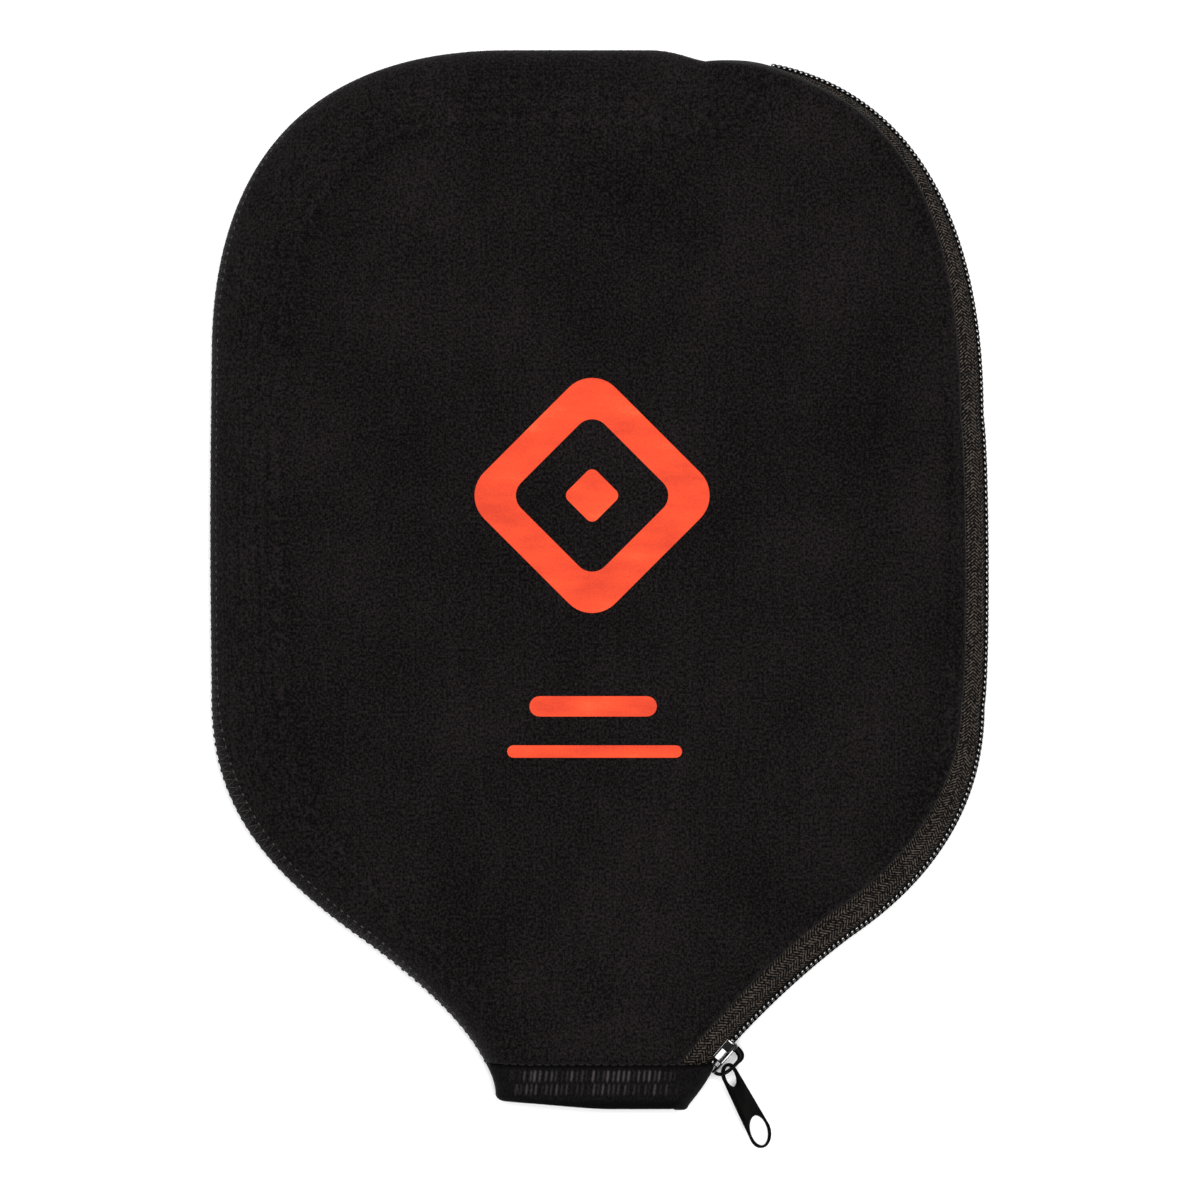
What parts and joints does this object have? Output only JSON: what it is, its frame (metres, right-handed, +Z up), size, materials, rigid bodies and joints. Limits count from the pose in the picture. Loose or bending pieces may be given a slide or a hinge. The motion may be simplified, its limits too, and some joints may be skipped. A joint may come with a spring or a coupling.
{
  "type": "paddle case",
  "caption": "Flat soft zip-up case for a court paddle: rounded face, tapering throat, open ribbed cuff for the handle, zip round one side with a slider and a pull tab.",
  "frame": {"origin": "middle of the flat back, where the case rests", "axes": "+X towards the zip side, +Y from the open cuff to the crown, +Z up out of the front"},
  "size_m": [0.2149, 0.3038, 0.0203],
  "materials": {
    "neoprene": "matt knit jersey bonded to foam rubber",
    "ribbed_neoprene": "matt, fine cross ribs",
    "zip_tape": "woven herringbone",
    "thread": "spun polyester",
    "nylon": "satin filament",
    "orange_film": "thin matt transfer film",
    "black_enamel": "glossy black over die-cast zinc"
  },
  "bodies": {
    "case": {"back_panel": "neoprene", "front_panel": "neoprene", "side_seam_thread": "thread", "front_cuff": "ribbed_neoprene", "back_cuff": "ribbed_neoprene", "cuff_thread_front": "thread", "cuff_thread_back": "thread", "front_zip_tape_neck": "zip_tape", "back_zip_tape": "zip_tape", "front_coil_neck": "nylon", "back_coil": "nylon", "back_zip_thread": "thread", "zip_bottom_stop": "nylon", "emblem_frame": "orange_film", "emblem_core": "orange_film", "emblem_bar_upper": "orange_film", "emblem_bar_lower": "orange_film"},
    "front_flap": {"front_panel_flap": "neoprene", "front_zip_tape": "zip_tape", "front_coil": "nylon", "front_zip_thread": "thread"},
    "slider": {"slider_body": "black_enamel", "slider_crown": "black_enamel"},
    "pull_tab": {"pull_tab": "black_enamel"}
  },
  "joints": [
    {"name": "front_flap", "type": "hinge", "parent": "case", "child": "front_flap", "pos_m": [0.04, -0.125, 0.02], "axis": [0.0334, -0.9994, 0], "range_deg": [0, 150]},
    {"name": "slider_travel", "type": "hinge", "parent": "case", "child": "slider", "pos_m": [0.2136, -0.2893, 0.01], "axis": [0, 0, -1], "range_deg": [0, 11]},
    {"name": "pull_tab", "type": "hinge", "parent": "slider", "child": "pull_tab", "pos_m": [0.03562, -0.13606, 0.01], "axis": [-0.9808, 0.1949, 0], "range_deg": [0, 110]}
  ]
}
